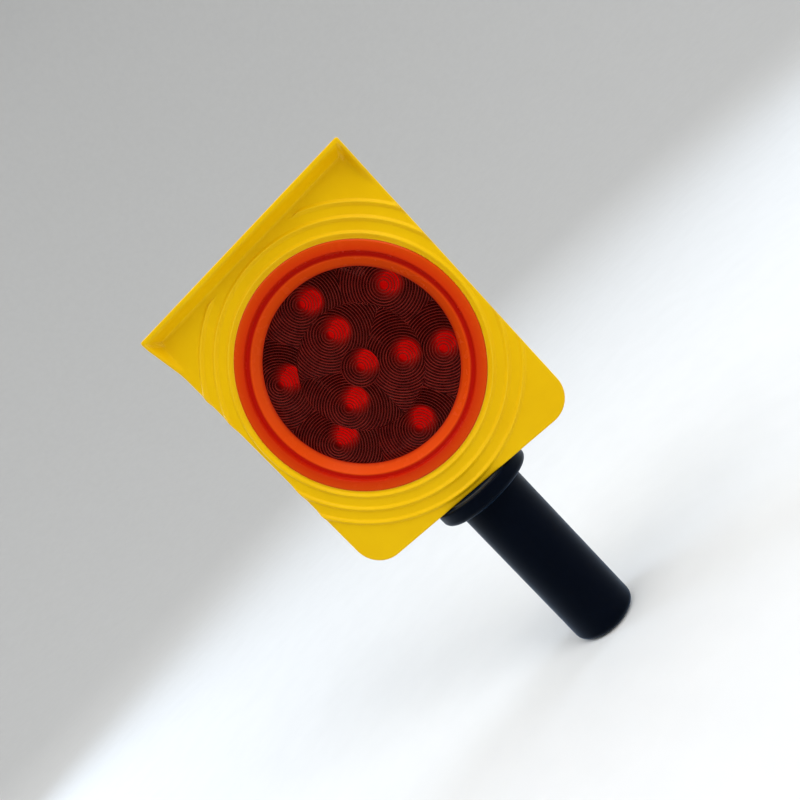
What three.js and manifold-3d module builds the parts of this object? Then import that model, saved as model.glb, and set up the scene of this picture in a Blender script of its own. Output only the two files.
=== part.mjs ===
// A hand-held warning lamp: a square yellow head with a round red lens and ten LEDs, on a round black
// handle that a hand holds or a traffic cone's top hole takes. Millimetres; +Z up along the handle's axis,
// the lens faces -Y, and the origin is the centre of the handle's flat bottom end.
import * as THREE from "three";
import { mergeVertices } from "three/addons/utils/BufferGeometryUtils.js";
import Module from "manifold-3d";

const wasm = await Module();
wasm.setup();

// Driving dimensions

const FIT = 0.3; // clearance between two pieces that touch
const WALL = 3;

const HANDLE = { radius: 15, footRadius: 14.8, round: 3, bore: 10, floor: 3.2 };
const COLLAR = { radius: 22.1, bottom: 74.7, top: 81.7, fillet: 1.4, edge: 0.6 };
const NECK = { grooveRadius: 11.3, ringRadius: 12.4, holeRadius: 11.6, ringHeight: 3, top: 93 };

const HEAD = {
  bottom: 82.2,
  top: 213.5,
  halfWidthTop: 54.7,
  halfWidthBottom: 53.8,
  cornerRadius: 12,
  halfDepth: 15.7,
  rearRound: 2,
  roof: 4.6,
  draft: 0.064, // how much narrower each side gets per millimetre towards the back
};
const LIP = { reach: 5.8, thickness: 3, gussetHeight: 17, gussetWidth: 1.6, fillet: 3 };

const LENS = {
  centreZ: 147.8,
  radius: 49.6,
  bandInner: 45.2,
  grooveInner: 43.3,
  patternRadius: 39.4,
  proud: 0.6,
  grooveDepth: 0.7,
  dish: 4.6,
  thickness: 2.4,
  flange: 2.1,
};
const BEADS = { radii: [51.6, 57.2, 62.9], halfWidth: 1.1, height: 0.75 };
const BARREL = { inner: 45.4, bore: 46.2, outer: 49.2, rootOuter: 52, end: 5.7, step: -1 };

const LED = { innerRing: 17.2, outerRing: 33.5, radius: 2.5, flange: 2.9, height: 8.6 };
const BOARD = { front: 6, thickness: 1.6, radius: 48.9 };
const REFLECTOR = { radius: 45.9, rimInner: 43.9, plate: 4, hole: 2.8, cup: 5.2 };

const SCREW = { shank: 1.2, pilot: 1.5, through: 1.8, head: 2.8, counterbore: 3.2, boss: 4.2 };
const BUTTON = { z: 118, cap: 6, flange: 7.6, bezel: 9.6, proud: 1.5, travel: 0.8 };
const SOLAR = { halfWidth: 48.7, halfDepth: 16.7, recess: 2.2, leadX: 12 };
const CELL = { radius: 9.15, length: 65, bottom: 8.6 };

const FACE = -HEAD.halfDepth;
const CAVITY = HEAD.halfDepth - WALL;
const COMPONENTS = BOARD.front + BOARD.thickness + FIT; // where parts on the board's back start

// Solids

// A geometry as a solid: its vertices merged, and its faces turned outwards.
function solid(geometry) {
  const bare = new THREE.BufferGeometry();
  bare.setAttribute("position", geometry.getAttribute("position"));
  bare.setIndex(geometry.index);
  const merged = mergeVertices(bare, 1e-4);
  const make = (triVerts) =>
    new wasm.Manifold(
      new wasm.Mesh({ numProp: 3, vertProperties: merged.attributes.position.array, triVerts }),
    );
  const triangles = new Uint32Array(merged.index.array);
  const made = make(triangles);
  if (made.volume() >= 0) return made;
  for (let i = 0; i < triangles.length; i += 3) {
    const first = triangles[i];
    triangles[i] = triangles[i + 1];
    triangles[i + 1] = first;
  }
  return make(triangles);
}

function joined(...pieces) {
  return pieces.reduce((sum, piece) => sum.add(piece));
}

function cut(body, ...tools) {
  return tools.reduce((rest, tool) => rest.subtract(tool), body);
}

// A solid of revolution about the Y axis through (x, z), from a closed list of [radius, y].
function turnedY(profile, x = 0, z = LENS.centreZ, segments = 32) {
  const points = profile.map(([r, y]) => new THREE.Vector2(r, y));
  points.push(points[0].clone());
  return solid(new THREE.LatheGeometry(points, segments).translate(x, 0, z));
}

// The same about the Z axis through (x, y), from a closed list of [radius, z].
function turnedZ(profile, x = 0, y = 0, segments = 48) {
  const points = profile.map(([r, z]) => new THREE.Vector2(r, z));
  points.push(points[0].clone());
  return solid(new THREE.LatheGeometry(points, segments).rotateX(Math.PI / 2).translate(x, y, 0));
}

function rodY(radius, y0, y1, x = 0, z = LENS.centreZ, segments = 24) {
  return turnedY([[0, y0], [radius, y0], [radius, y1], [0, y1]], x, z, segments);
}

function rodZ(radius, z0, z1, x = 0, y = 0, segments = 32) {
  return turnedZ([[0, z0], [radius, z0], [radius, z1], [0, z1]], x, y, segments);
}

function box([x0, y0, z0], [x1, y1, z1]) {
  const block = new THREE.BoxGeometry(x1 - x0, y1 - y0, z1 - z0);
  return solid(block.translate((x0 + x1) / 2, (y0 + y1) / 2, (z0 + z1) / 2));
}

// An outline in X and Z, given depth from y0 to y1.
function slab(shape, y0, y1, curveSegments = 8) {
  const slabGeometry = new THREE.ExtrudeGeometry(shape, {
    depth: y1 - y0,
    bevelEnabled: false,
    curveSegments,
  });
  return solid(slabGeometry.rotateX(Math.PI / 2).translate(0, y1, 0));
}

// An outline in Y and Z, given width from x0 to x1.
function bar(shape, x0, x1, curveSegments = 6) {
  const barGeometry = new THREE.ExtrudeGeometry(shape, {
    depth: x1 - x0,
    bevelEnabled: false,
    curveSegments,
  });
  const turn = new THREE.Matrix4().makeBasis(
    new THREE.Vector3(0, 1, 0),
    new THREE.Vector3(0, 0, 1),
    new THREE.Vector3(1, 0, 0),
  );
  return solid(barGeometry.applyMatrix4(turn).translate(x0, 0, 0));
}

// A round wire along a smooth curve through the points.
function wire(points, radius, steps = 20, sides = 3) {
  const section = new THREE.Shape().absarc(0, 0, radius, 0, 2 * Math.PI);
  const path = new THREE.CatmullRomCurve3(points.map((p) => new THREE.Vector3(...p)));
  return solid(
    new THREE.ExtrudeGeometry(section, { steps, extrudePath: path, curveSegments: sides }),
  );
}

function polygon(points) {
  return new THREE.Shape(points.map(([x, y]) => new THREE.Vector2(x, y)));
}

// The scene

const lamp = new THREE.Group();

function add(name, body, [color, roughness, metalness]) {
  const mesh = body.getMesh();
  const geometry = new THREE.BufferGeometry();
  geometry.setAttribute("position", new THREE.BufferAttribute(mesh.vertProperties, 3));
  geometry.setIndex(new THREE.BufferAttribute(mesh.triVerts, 1));
  geometry.computeVertexNormals();
  const material = new THREE.MeshStandardMaterial({ color, roughness, metalness });
  const node = new THREE.Mesh(geometry, material);
  node.name = name;
  lamp.add(node);
}

// Finishes: colour, roughness, metalness
const YELLOW = [0xe8b400, 0.35, 0];
const RED_LENS = [0xb81c05, 0.15, 0];
const BLACK = [0x101217, 0.45, 0];
const RUBBER = [0x1c1c1e, 0.8, 0];
const BOARD_GREEN = [0x14532d, 0.5, 0];
const LED_RED = [0xd01808, 0.15, 0];
const STEEL = [0xb8bcc2, 0.3, 1];
const NICKEL = [0xc9c3b2, 0.3, 1];
const CELL_WRAP = [0x2a62b8, 0.4, 0];
const CHIP = [0x16171a, 0.5, 0];
const CONNECTOR = [0xe6e2d6, 0.5, 0];
const SOLAR_BLUE = [0x101c3c, 0.25, 0.1];
const CLEAR = [0xdfe8ee, 0.08, 0];
const LEAD_RED = [0xb01414, 0.5, 0];
const LEAD_BLACK = [0x141414, 0.5, 0];

// The head's outline, drawn in by `inset`: sharp corners at the top and round ones at the bottom.
function headOutline(inset = 0, topInset = inset) {
  const top = HEAD.top - topInset;
  const bottom = HEAD.bottom + inset;
  const wide = HEAD.halfWidthTop - inset;
  const narrow = HEAD.halfWidthBottom - inset;
  const corner = HEAD.cornerRadius - inset;
  const outline = new THREE.Shape();
  outline.moveTo(-wide, top);
  outline.lineTo(-narrow, bottom + corner);
  outline.absarc(-narrow + corner, bottom + corner, corner, Math.PI, 1.5 * Math.PI);
  outline.lineTo(narrow - corner, bottom);
  outline.absarc(narrow - corner, bottom + corner, corner, 1.5 * Math.PI, 2 * Math.PI);
  outline.lineTo(wide, top);
  outline.closePath();
  return outline;
}

// The same solid with its sides drawn in towards the back, as the head's moulds need.
function drafted(body) {
  const front = FACE - LIP.reach;
  return body.warp((point) => {
    point[0] *= 1 - (HEAD.draft * (point[1] - front)) / HEAD.halfWidthTop;
  });
}

// The projecting edge of the roof, its sloping side gussets and the fillet under it. side is -1 or 1.
function lip(side) {
  const root = side * (HEAD.halfDepth - 0.1);
  const tip = side * (HEAD.halfDepth + LIP.reach);
  const under = HEAD.top - LIP.thickness;
  const foot = under - LIP.gussetHeight;
  const width = HEAD.halfWidthTop;
  const roofEdge = polygon([[root, under], [tip, under], [tip, HEAD.top], [root, HEAD.top]]);
  const gusset = polygon([[root, foot], [tip, under + 0.1], [root, under + 0.1]]);
  const fillet = new THREE.Shape();
  fillet.moveTo(root, under + 0.1);
  fillet.lineTo(side * (HEAD.halfDepth + LIP.fillet), under + 0.1);
  fillet.lineTo(side * (HEAD.halfDepth + LIP.fillet), under);
  for (let step = 1; step <= 4; step += 1) {
    const angle = (step / 4) * (Math.PI / 2);
    const out = LIP.fillet * (1 - Math.sin(angle));
    fillet.lineTo(side * (HEAD.halfDepth + out), under - LIP.fillet * (1 - Math.cos(angle)));
  }
  fillet.lineTo(root, under - LIP.fillet);
  const edge = joined(
    bar(roofEdge, -width, width),
    bar(fillet, -width + 1, width - 1),
    bar(gusset, -width, -width + LIP.gussetWidth),
    bar(gusset, width - LIP.gussetWidth, width),
  );
  return drafted(edge);
}

// Where the six shell screws stand, in X and Z.
const SCREW_PLACES = [];
for (const [x, z] of [[46.2, 202.5], [43.5, 94.5], [22, 92.6]]) {
  SCREW_PLACES.push([x, z], [-x, z]);
}

// Where the three board screws stand, on the barrel's end.
const BOARD_SCREW_PLACES = [60, 195, 315].map((degrees) => {
  const angle = THREE.MathUtils.degToRad(degrees);
  const radius = (BARREL.bore + BARREL.outer) / 2;
  return [radius * Math.cos(angle), LENS.centreZ + radius * Math.sin(angle)];
});

// Where the ten LEDs stand: one in the middle, three round it, and six near the edge.
const LED_PLACES = [[0, LENS.centreZ]];
for (const [count, radius] of [[3, LED.innerRing], [6, LED.outerRing]]) {
  for (let i = 0; i < count; i += 1) {
    const angle = Math.PI / 2 + (2 * Math.PI * i) / count;
    LED_PLACES.push([radius * Math.cos(angle), LENS.centreZ + radius * Math.sin(angle)]);
  }
}

// What both shells lose: the handle's neck, the solar panel's recess and the seal's groove.
const neckHole = rodZ(NECK.holeRadius, HEAD.bottom - 1, HEAD.bottom + WALL + 1, 0, 0, 32);
const solarRecess = box(
  [-SOLAR.halfWidth - FIT, -SOLAR.halfDepth - FIT, HEAD.top - SOLAR.recess],
  [SOLAR.halfWidth + FIT, SOLAR.halfDepth + FIT, HEAD.top + 1],
);

// A loop that follows the shells' walls, for the seal and for its groove.
function wallLoop(outer, inner, halfThickness) {
  const roof = HEAD.roof - WALL;
  const ring = slab(headOutline(outer, outer + roof), -halfThickness, halfThickness);
  const inside = slab(headOutline(inner, inner + roof), -halfThickness - 1, halfThickness + 1);
  return drafted(cut(ring, inside));
}
const sealGroove = wallLoop(0.8, 2.2, 1.2);

// The front shell

function lensBarrel() {
  const ledge = FACE + LENS.flange + FIT * 2 + 0.4;
  return turnedY(
    [
      [LENS.radius + FIT, FACE + 0.6],
      [BARREL.rootOuter, FACE + 0.6],
      [BARREL.rootOuter, -CAVITY + 4],
      [BARREL.outer, -CAVITY + 5.4],
      [BARREL.outer, BARREL.end],
      [BARREL.bore, BARREL.end],
      [BARREL.bore, BARREL.step],
      [BARREL.inner, BARREL.step],
      [BARREL.inner, ledge],
      [LENS.radius + FIT, ledge],
    ],
    0,
    LENS.centreZ,
    48,
  );
}

function faceBead(radius) {
  const { halfWidth, height } = BEADS;
  const top = FACE - height;
  const bead = turnedY(
    [
      [radius - halfWidth, FACE + 0.2],
      [radius - halfWidth, FACE],
      [radius - halfWidth * 0.5, top],
      [radius + halfWidth * 0.5, top],
      [radius + halfWidth, FACE],
      [radius + halfWidth, FACE + 0.2],
    ],
    0,
    LENS.centreZ,
    56,
  );
  const face = slab(headOutline(0.2, LIP.thickness + 1), top - 1, FACE + 0.3);
  return bead.intersect(drafted(face));
}

function frontShell() {
  const block = drafted(slab(headOutline(), FACE, -FIT / 2));
  const cavity = drafted(slab(headOutline(WALL, HEAD.roof), -CAVITY, 1));
  const opening = rodY(LENS.radius + FIT, FACE - 2, -CAVITY + 0.1, 0, LENS.centreZ, 48);
  const posts = SCREW_PLACES.map(([x, z]) => rodY(SCREW.boss, -CAVITY - 0.2, -FIT / 2, x, z, 16));
  const pilots = SCREW_PLACES.map(([x, z]) => rodY(SCREW.pilot, -12, 1, x, z, 12));
  const boardPilots = BOARD_SCREW_PLACES.map(([x, z]) => rodY(1.25, -2, 7, x, z, 12));
  const walls = cut(block, cavity, opening);
  const filled = joined(walls, lip(-1), lensBarrel(), ...posts, ...BEADS.radii.map(faceBead));
  return cut(filled, ...pilots, ...boardPilots, neckHole, solarRecess, sealGroove);
}

add("front_shell", frontShell(), YELLOW);

// The rear shell

// A block with its back edges rounded off in three steps.
function rearBlock() {
  const depth = HEAD.halfDepth;
  const round = HEAD.rearRound;
  const layers = [slab(headOutline(), FIT / 2, depth - round)];
  for (let step = 1; step <= 3; step += 1) {
    const angle = (step / 3) * (Math.PI / 2);
    const before = ((step - 1) / 3) * (Math.PI / 2);
    const inset = round * (1 - Math.cos(angle));
    const y0 = depth - round + round * Math.sin(before) - 0.01;
    const y1 = depth - round + round * Math.sin(angle);
    layers.push(slab(headOutline(inset * 0.7, 0), y0, y1));
  }
  return drafted(joined(...layers));
}

function rearShell() {
  const cavity = drafted(slab(headOutline(WALL, HEAD.roof), -1, CAVITY));
  const posts = SCREW_PLACES.map(([x, z]) => rodY(SCREW.boss, FIT / 2, CAVITY + 0.2, x, z, 16));
  const holes = SCREW_PLACES.map(([x, z]) => rodY(SCREW.through, -1, 17, x, z, 12));
  const counterbores = SCREW_PLACES.map(([x, z]) => rodY(SCREW.counterbore, 12.6, 17, x, z, 16));
  const buttonHole = rodY(BUTTON.cap + FIT, 10, 18, 0, BUTTON.z, 40);
  const leadHole = rodZ(2, HEAD.top - HEAD.roof - 1, HEAD.top, SOLAR.leadX, 8, 16);
  const walls = joined(cut(rearBlock(), cavity), lip(1), ...posts);
  return cut(walls, ...holes, ...counterbores, buttonHole, leadHole, neckHole, solarRecess, sealGroove);
}

add("rear_shell", rearShell(), YELLOW);
const sealLoop = wallLoop(1.1, 1.9, 0.9);
add("shell_seal", cut(sealLoop, rodZ(NECK.holeRadius + 1, 80, 90)), RUBBER);

// The lens, its gasket and the reflector behind it

const dishFront = FACE + LENS.dish;
const dishBack = dishFront + LENS.thickness;
const flangeBack = FACE + LENS.flange;
const lensProfile = [
  [0, dishFront],
  [LENS.patternRadius, dishFront],
  [LENS.grooveInner, FACE + LENS.grooveDepth],
  [LENS.bandInner - 0.3, FACE + LENS.grooveDepth],
  [LENS.bandInner, FACE - LENS.proud],
  [LENS.radius - 0.6, FACE - LENS.proud],
  [LENS.radius, FACE],
  [LENS.radius, flangeBack],
  [BARREL.inner - 0.5, flangeBack],
  [BARREL.inner - 0.5, flangeBack + 1.6],
  [LENS.patternRadius + 3, dishBack],
  [0, dishBack],
];
add("lens", turnedY(lensProfile, 0, LENS.centreZ, 56), RED_LENS);

const gasket = [
  [BARREL.inner + 0.4, flangeBack + FIT],
  [LENS.radius, flangeBack + FIT],
  [LENS.radius, flangeBack + FIT + 0.4],
  [BARREL.inner + 0.4, flangeBack + FIT + 0.4],
];
add("lens_gasket", turnedY(gasket, 0, LENS.centreZ, 48), RUBBER);

function reflector() {
  const front = BARREL.step + FIT;
  const back = front + REFLECTOR.plate;
  const plate = turnedY(
    [
      [0, front],
      [REFLECTOR.radius, front],
      [REFLECTOR.radius, BARREL.end],
      [REFLECTOR.rimInner, BARREL.end],
      [REFLECTOR.rimInner, back],
      [0, back],
    ],
    0,
    LENS.centreZ,
    48,
  );
  const cups = LED_PLACES.map(([x, z]) =>
    turnedY(
      [
        [0, front - 1],
        [REFLECTOR.cup, front - 1],
        [REFLECTOR.cup, front],
        [REFLECTOR.hole, back - 1],
        [REFLECTOR.hole, back + 1],
        [0, back + 1],
      ],
      x,
      z,
      12,
    ),
  );
  return cut(plate, ...cups);
}

add("reflector_plate", reflector(), BLACK);

// The board and what stands on it

const board = rodY(BOARD.radius, BOARD.front, BOARD.front + BOARD.thickness, 0, LENS.centreZ, 48);
const boardHoles = BOARD_SCREW_PLACES.map(([x, z]) => rodY(1.3, 4, 9, x, z, 12));
add("main_board", cut(board, ...boardHoles), BOARD_GREEN);

function led(x, z) {
  const base = BOARD.front - FIT;
  const tip = base - LED.height;
  const profile = [
    [0, base],
    [LED.flange, base],
    [LED.flange, base - 1],
    [LED.radius, base - 1],
    [LED.radius, tip + LED.radius],
  ];
  for (const degrees of [30, 60]) {
    const angle = THREE.MathUtils.degToRad(degrees);
    profile.push([LED.radius * Math.cos(angle), tip + LED.radius * (1 - Math.sin(angle))]);
  }
  profile.push([0, tip]);
  return turnedY(profile, x, z, 12);
}

LED_PLACES.forEach(([x, z], i) => add("led_" + (i + 1), led(x, z), LED_RED));

// A block on the back of the board, centred on (x, z).
function onBoard(x, z, width, height, depth) {
  const y = COMPONENTS;
  return box([x - width / 2, y, z - height / 2], [x + width / 2, y + depth, z + height / 2]);
}

add("controller_chip", onBoard(0, 150, 6, 10, 1.7), CHIP);
add("driver_inductor", rodY(4, COMPONENTS, COMPONENTS + 3.6, 22, 156, 24), CHIP);
add("filter_capacitor", rodY(2.5, COMPONENTS, COMPONENTS + 4.2, -20, 158, 20), STEEL);
add("battery_connector", onBoard(-16, 112, 8, 6, 3.4), CONNECTOR);
add("solar_connector", onBoard(SOLAR.leadX, 182, 8, 6, 3.4), CONNECTOR);

// The push button: its cap and the switch's plunger move together, towards the lens.

const switchBack = COMPONENTS + 2.8;
const plungerHole = rodY(2, COMPONENTS + 0.6, switchBack + 1, 0, BUTTON.z, 20);
add("switch_body", cut(onBoard(0, BUTTON.z, 12, 12, 2.8), plungerHole), CHIP);
add("switch_plunger", rodY(1.7, COMPONENTS + 1.5, switchBack + 0.6, 0, BUTTON.z, 20), CONNECTOR);

const buttonBack = HEAD.halfDepth + BUTTON.proud;
const buttonProfile = [
  [0, switchBack + 0.9],
  [BUTTON.flange, switchBack + 0.9],
  [BUTTON.flange, CAVITY - FIT],
  [BUTTON.cap, CAVITY - FIT],
  [BUTTON.cap, buttonBack - 0.6],
  [BUTTON.cap - 0.6, buttonBack],
  [0, buttonBack],
];
add("button_cap", turnedY(buttonProfile, 0, BUTTON.z, 32), BLACK);

const bezelProfile = [
  [BUTTON.cap + 0.7, HEAD.halfDepth + FIT],
  [BUTTON.bezel, HEAD.halfDepth + FIT],
  [BUTTON.bezel - 0.8, HEAD.halfDepth + 1.1],
  [BUTTON.cap + 0.7, HEAD.halfDepth + 1.1],
];
add("switch_bezel", turnedY(bezelProfile, 0, BUTTON.z, 32), BLACK);

// The solar panel in the roof's recess, under a clear cover

function solarSheet(z0, z1) {
  const { halfWidth, halfDepth } = SOLAR;
  return box([-halfWidth, -halfDepth, z0], [halfWidth, halfDepth, z1]);
}

const recessFloor = HEAD.top - SOLAR.recess;
add("solar_panel", solarSheet(recessFloor + FIT, recessFloor + 0.9), SOLAR_BLUE);
add("solar_window", solarSheet(recessFloor + 1.2, HEAD.top), CLEAR);

// The handle, the cell in it and the cell's contacts

function handle() {
  const profile = [[0, 0], [HANDLE.footRadius - HANDLE.round, 0]];
  for (const degrees of [30, 60, 90]) {
    const angle = THREE.MathUtils.degToRad(degrees);
    const r = HANDLE.footRadius - HANDLE.round * (1 - Math.sin(angle));
    profile.push([r, HANDLE.round * (1 - Math.cos(angle))]);
  }
  profile.push(
    [HANDLE.radius, COLLAR.bottom - COLLAR.fillet],
    [HANDLE.radius + COLLAR.fillet * 0.3, COLLAR.bottom - COLLAR.fillet * 0.3],
    [HANDLE.radius + COLLAR.fillet, COLLAR.bottom],
    [COLLAR.radius - COLLAR.edge, COLLAR.bottom],
    [COLLAR.radius, COLLAR.bottom + COLLAR.edge],
    [COLLAR.radius, COLLAR.top - COLLAR.edge],
    [COLLAR.radius - COLLAR.edge, COLLAR.top],
    [19.2, COLLAR.top],
    [19.2, COLLAR.top - 1.2],
    [17.4, COLLAR.top - 1.2],
    [17.4, COLLAR.top],
    [NECK.grooveRadius, COLLAR.top],
    [NECK.grooveRadius, HEAD.bottom + WALL + FIT],
    [NECK.ringRadius, HEAD.bottom + WALL + FIT],
    [NECK.ringRadius, HEAD.bottom + WALL + FIT + NECK.ringHeight],
    [NECK.grooveRadius, HEAD.bottom + WALL + FIT + NECK.ringHeight],
    [NECK.grooveRadius, NECK.top],
    [HANDLE.bore, NECK.top],
    [HANDLE.bore, HANDLE.floor],
    [0, HANDLE.floor],
  );
  return turnedZ(profile, 0, 0, 32);
}

add("handle_tube", handle(), BLACK);

// A ring with a round section, about the handle's axis.
function sealRing(radius, section, z) {
  const profile = [];
  for (let i = 0; i < 6; i += 1) {
    const angle = (i / 6) * 2 * Math.PI;
    profile.push([radius + section * Math.cos(angle), z + section * Math.sin(angle)]);
  }
  return turnedZ(profile, 0, 0, 32);
}

add("handle_seal", sealRing(18.3, 0.55, COLLAR.top - 0.35), RUBBER);

// The spring under the cell, a cone of wire that stands on the handle's floor.
function batterySpring() {
  const turns = 3.5;
  const low = HANDLE.floor + FIT + 0.4;
  const high = CELL.bottom - FIT - 0.4;
  const coil = new THREE.Curve();
  coil.getPoint = (t, target = new THREE.Vector3()) => {
    const angle = 2 * Math.PI * turns * t;
    const radius = 7.6 - 3.4 * t;
    return target.set(radius * Math.cos(angle), radius * Math.sin(angle), low + (high - low) * t);
  };
  const section = new THREE.Shape().absarc(0, 0, 0.4, 0, 2 * Math.PI);
  return solid(
    new THREE.ExtrudeGeometry(section, { steps: 56, extrudePath: coil, curveSegments: 3 }),
  );
}

add("battery_spring", batterySpring(), STEEL);

const cellTop = CELL.bottom + CELL.length;
const cellProfile = [
  [0, CELL.bottom],
  [CELL.radius - 0.5, CELL.bottom],
  [CELL.radius, CELL.bottom + 0.5],
  [CELL.radius, cellTop - 1.8],
  [CELL.radius - 0.5, cellTop - 1.3],
  [4, cellTop - 1.3],
  [4, cellTop],
  [0, cellTop],
];
add("battery_cell", turnedZ(cellProfile, 0, 0, 24), CELL_WRAP);
add("battery_contact", rodZ(7, cellTop + FIT, cellTop + FIT + 0.5), NICKEL);

// A strip beside the cell brings the spring's contact up to the plug.
add("negative_strip", box([9.42, -1.5, HANDLE.floor + FIT], [9.7, 1.5, 76]), NICKEL);

const plugBottom = cellTop + FIT * 2 + 0.5;
const plugProfile = [
  [0, plugBottom],
  [9, plugBottom],
  [9, 76.4],
  [HANDLE.bore - FIT, 76.4],
  [HANDLE.bore - FIT, 82],
  [7, 82],
  [7, 79],
  [0, 79],
];
const LEAD = { radius: 0.65, spread: 3 };
const leadHoles = [-1, 1].map((side) => rodZ(1.2, plugBottom - 1, 83, side * LEAD.spread, 0, 10));
add("battery_plug", cut(turnedZ(plugProfile, 0, 0, 24), ...leadHoles), BLACK);

// The leads: from the plug up behind the board to one connector, and from the roof down to the other

for (const [name, side, finish] of [["red", 1, LEAD_RED], ["black", -1, LEAD_BLACK]]) {
  const x = side * LEAD.spread;
  const behind = COMPONENTS + 1.7;
  const batteryRoute = [
    [x, 0, plugBottom + 0.5],
    [x, 0, 86],
    [x, 1.5, 91],
    [x * 0.8, 7, 95],
    [x * 0.6 - 4, behind, 100 + side * 1.2],
    [side * 1.6 - 14.5, behind, 104.5 + side * 0.8],
    [side * 1.6 - 16, behind, 108.7],
  ];
  add("battery_lead_" + name, wire(batteryRoute, LEAD.radius), finish);
  const solarRoute = [
    [SOLAR.leadX + side * 0.95, 8, recessFloor - 0.3],
    [SOLAR.leadX + side * 0.95, 8, 206],
    [SOLAR.leadX + side * 1.2, behind, 199],
    [SOLAR.leadX + side * 1.6, behind, 192],
    [SOLAR.leadX + side * 1.6, behind, 185.3],
  ];
  add("solar_lead_" + name, wire(solarRoute, LEAD.radius, 16), finish);
}

// Screws, each with a cross recess in its head

function screw(x, z, shank, head, y0, y1, headHeight) {
  const top = y1 + headHeight;
  const body = turnedY(
    [
      [0, y0],
      [shank, y0],
      [shank, y1],
      [head, y1],
      [head, top - 0.4],
      [head - 0.5, top],
      [0, top],
    ],
    x,
    z,
    12,
  );
  const slotLong = head * 0.55;
  const slots = [[slotLong, 0.3], [0.3, slotLong]].map(([a, b]) =>
    box([x - a, top - 0.9, z - b], [x + a, top + 1, z + b]),
  );
  return cut(body, ...slots);
}

SCREW_PLACES.forEach(([x, z], i) => {
  const seat = 12.6 + FIT;
  add("shell_screw_" + (i + 1), screw(x, z, SCREW.shank, SCREW.head, -11, seat, 1.9), STEEL);
});
BOARD_SCREW_PLACES.forEach(([x, z], i) => {
  add("board_screw_" + (i + 1), screw(x, z, 1, 1.9, -1, COMPONENTS, 1.2), STEEL);
});

export default lamp;
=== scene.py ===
"""A hand-held warning lamp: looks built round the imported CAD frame. Lengths in the tables are millimetres."""

import math

import bmesh
import bpy
import numpy as np
from mathutils import Matrix, Vector
from mathutils.geometry import delaunay_2d_cdt


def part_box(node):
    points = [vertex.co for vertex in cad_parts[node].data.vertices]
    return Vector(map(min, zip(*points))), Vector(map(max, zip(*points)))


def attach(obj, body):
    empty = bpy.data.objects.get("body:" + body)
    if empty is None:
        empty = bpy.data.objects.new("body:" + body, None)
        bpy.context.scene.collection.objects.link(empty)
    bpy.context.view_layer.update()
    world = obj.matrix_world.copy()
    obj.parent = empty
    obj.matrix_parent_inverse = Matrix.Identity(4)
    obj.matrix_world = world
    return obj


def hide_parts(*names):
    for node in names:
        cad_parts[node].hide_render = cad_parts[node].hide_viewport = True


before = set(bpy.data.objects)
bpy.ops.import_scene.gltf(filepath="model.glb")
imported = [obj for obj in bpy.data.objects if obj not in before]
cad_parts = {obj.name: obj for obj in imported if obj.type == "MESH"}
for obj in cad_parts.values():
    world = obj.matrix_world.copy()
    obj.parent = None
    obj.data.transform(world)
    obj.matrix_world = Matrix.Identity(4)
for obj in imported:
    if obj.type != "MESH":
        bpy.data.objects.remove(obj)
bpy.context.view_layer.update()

MM = 0.001
BODY = "lamp"


def box_mm(node):
    """A node's lowest and highest corner, in millimetres."""
    low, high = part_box(node)
    return [v / MM for v in low], [v / MM for v in high]


def middle(node):
    low, high = box_mm(node)
    return [(a + b) / 2 for a, b in zip(low, high)]


# Places that come from the frame

LENS_LOW, LENS_HIGH = box_mm("lens")
LENS_X, _, LENS_Z = middle("lens")
LENS_RADIUS = (LENS_HIGH[0] - LENS_LOW[0]) / 2
LENS_PROUD = 0.6
FACE = LENS_LOW[1] + LENS_PROUD  # the head's front face
HEAD_LOW, HEAD_HIGH = box_mm("rear_shell")
HEAD_BOTTOM, HEAD_TOP = HEAD_LOW[2], HEAD_HIGH[2]
HALF_WIDE = box_mm("front_shell")[1][0]
HALF_DEPTH = -FACE
PARTING = HEAD_LOW[1]
LIP_REACH = HEAD_HIGH[1] - HALF_DEPTH

# Driving dimensions of the shells

HALF_NARROW = HALF_WIDE - 0.9
DRAFT = 0.064  # how much narrower each side gets per millimetre towards the back
CORNER = 12.0  # radius of the bottom corners
SHARP_CORNER = 1.0  # radius of the top corners
CORNER_STEPS = 14
OUTLINE_STEP = 3.0  # the longest piece of a contour's straight sides
WALL = 3.0
ROOF = 4.6
LIP_THICK = 2.9
LIP_CREST, LIP_FALL = 1.5, 3.6  # the roof edge's crest, and the cove that falls from it to the face
GUSSET = 17.0  # how far the gussets run down the sides
GUSSET_CREST, GUSSET_FALL = 0.7, 2.6
RIM_INSETS = (1.0, 1.25, 1.5, 1.75, 1.95, 2.2, 2.5, 2.9, 3.2, 3.4)  # contours on the crest
COVE_INSETS = (3.7, 4.1, 4.6, 5.2, 5.9, 6.6, 7.1, 7.5, 7.9)  # contours down the cove
BEADS = (51.6, 57.2, 62.9)  # radii of the raised rings
BEAD_HALF = 1.35
BEAD_HEIGHT = 0.85
BEAD_END, BEAD_FADE = 7.1, 0.8  # how far below the top the rings end, and over what length
BEAD_STEPS = [k / 5 for k in range(-6, 7)]  # contours across a ring, in half widths
OPENING = LENS_RADIUS + 0.08
MOUTH_START, MOUTH_ROUND = 0.1, 0.5  # the rounding round the lens's opening
CHAMFER = 0.3  # at the parting line
NECK_HOLE = 11.6
SCREW_BOSS = 4.2
PANEL_GAP = 0.3
CUP_DEEP = 4  # the reflector cups' depth
CAP_RADIUS = 6.0  # the push button's cap
CAP_GAP = 0.3


# Mesh helpers


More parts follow.
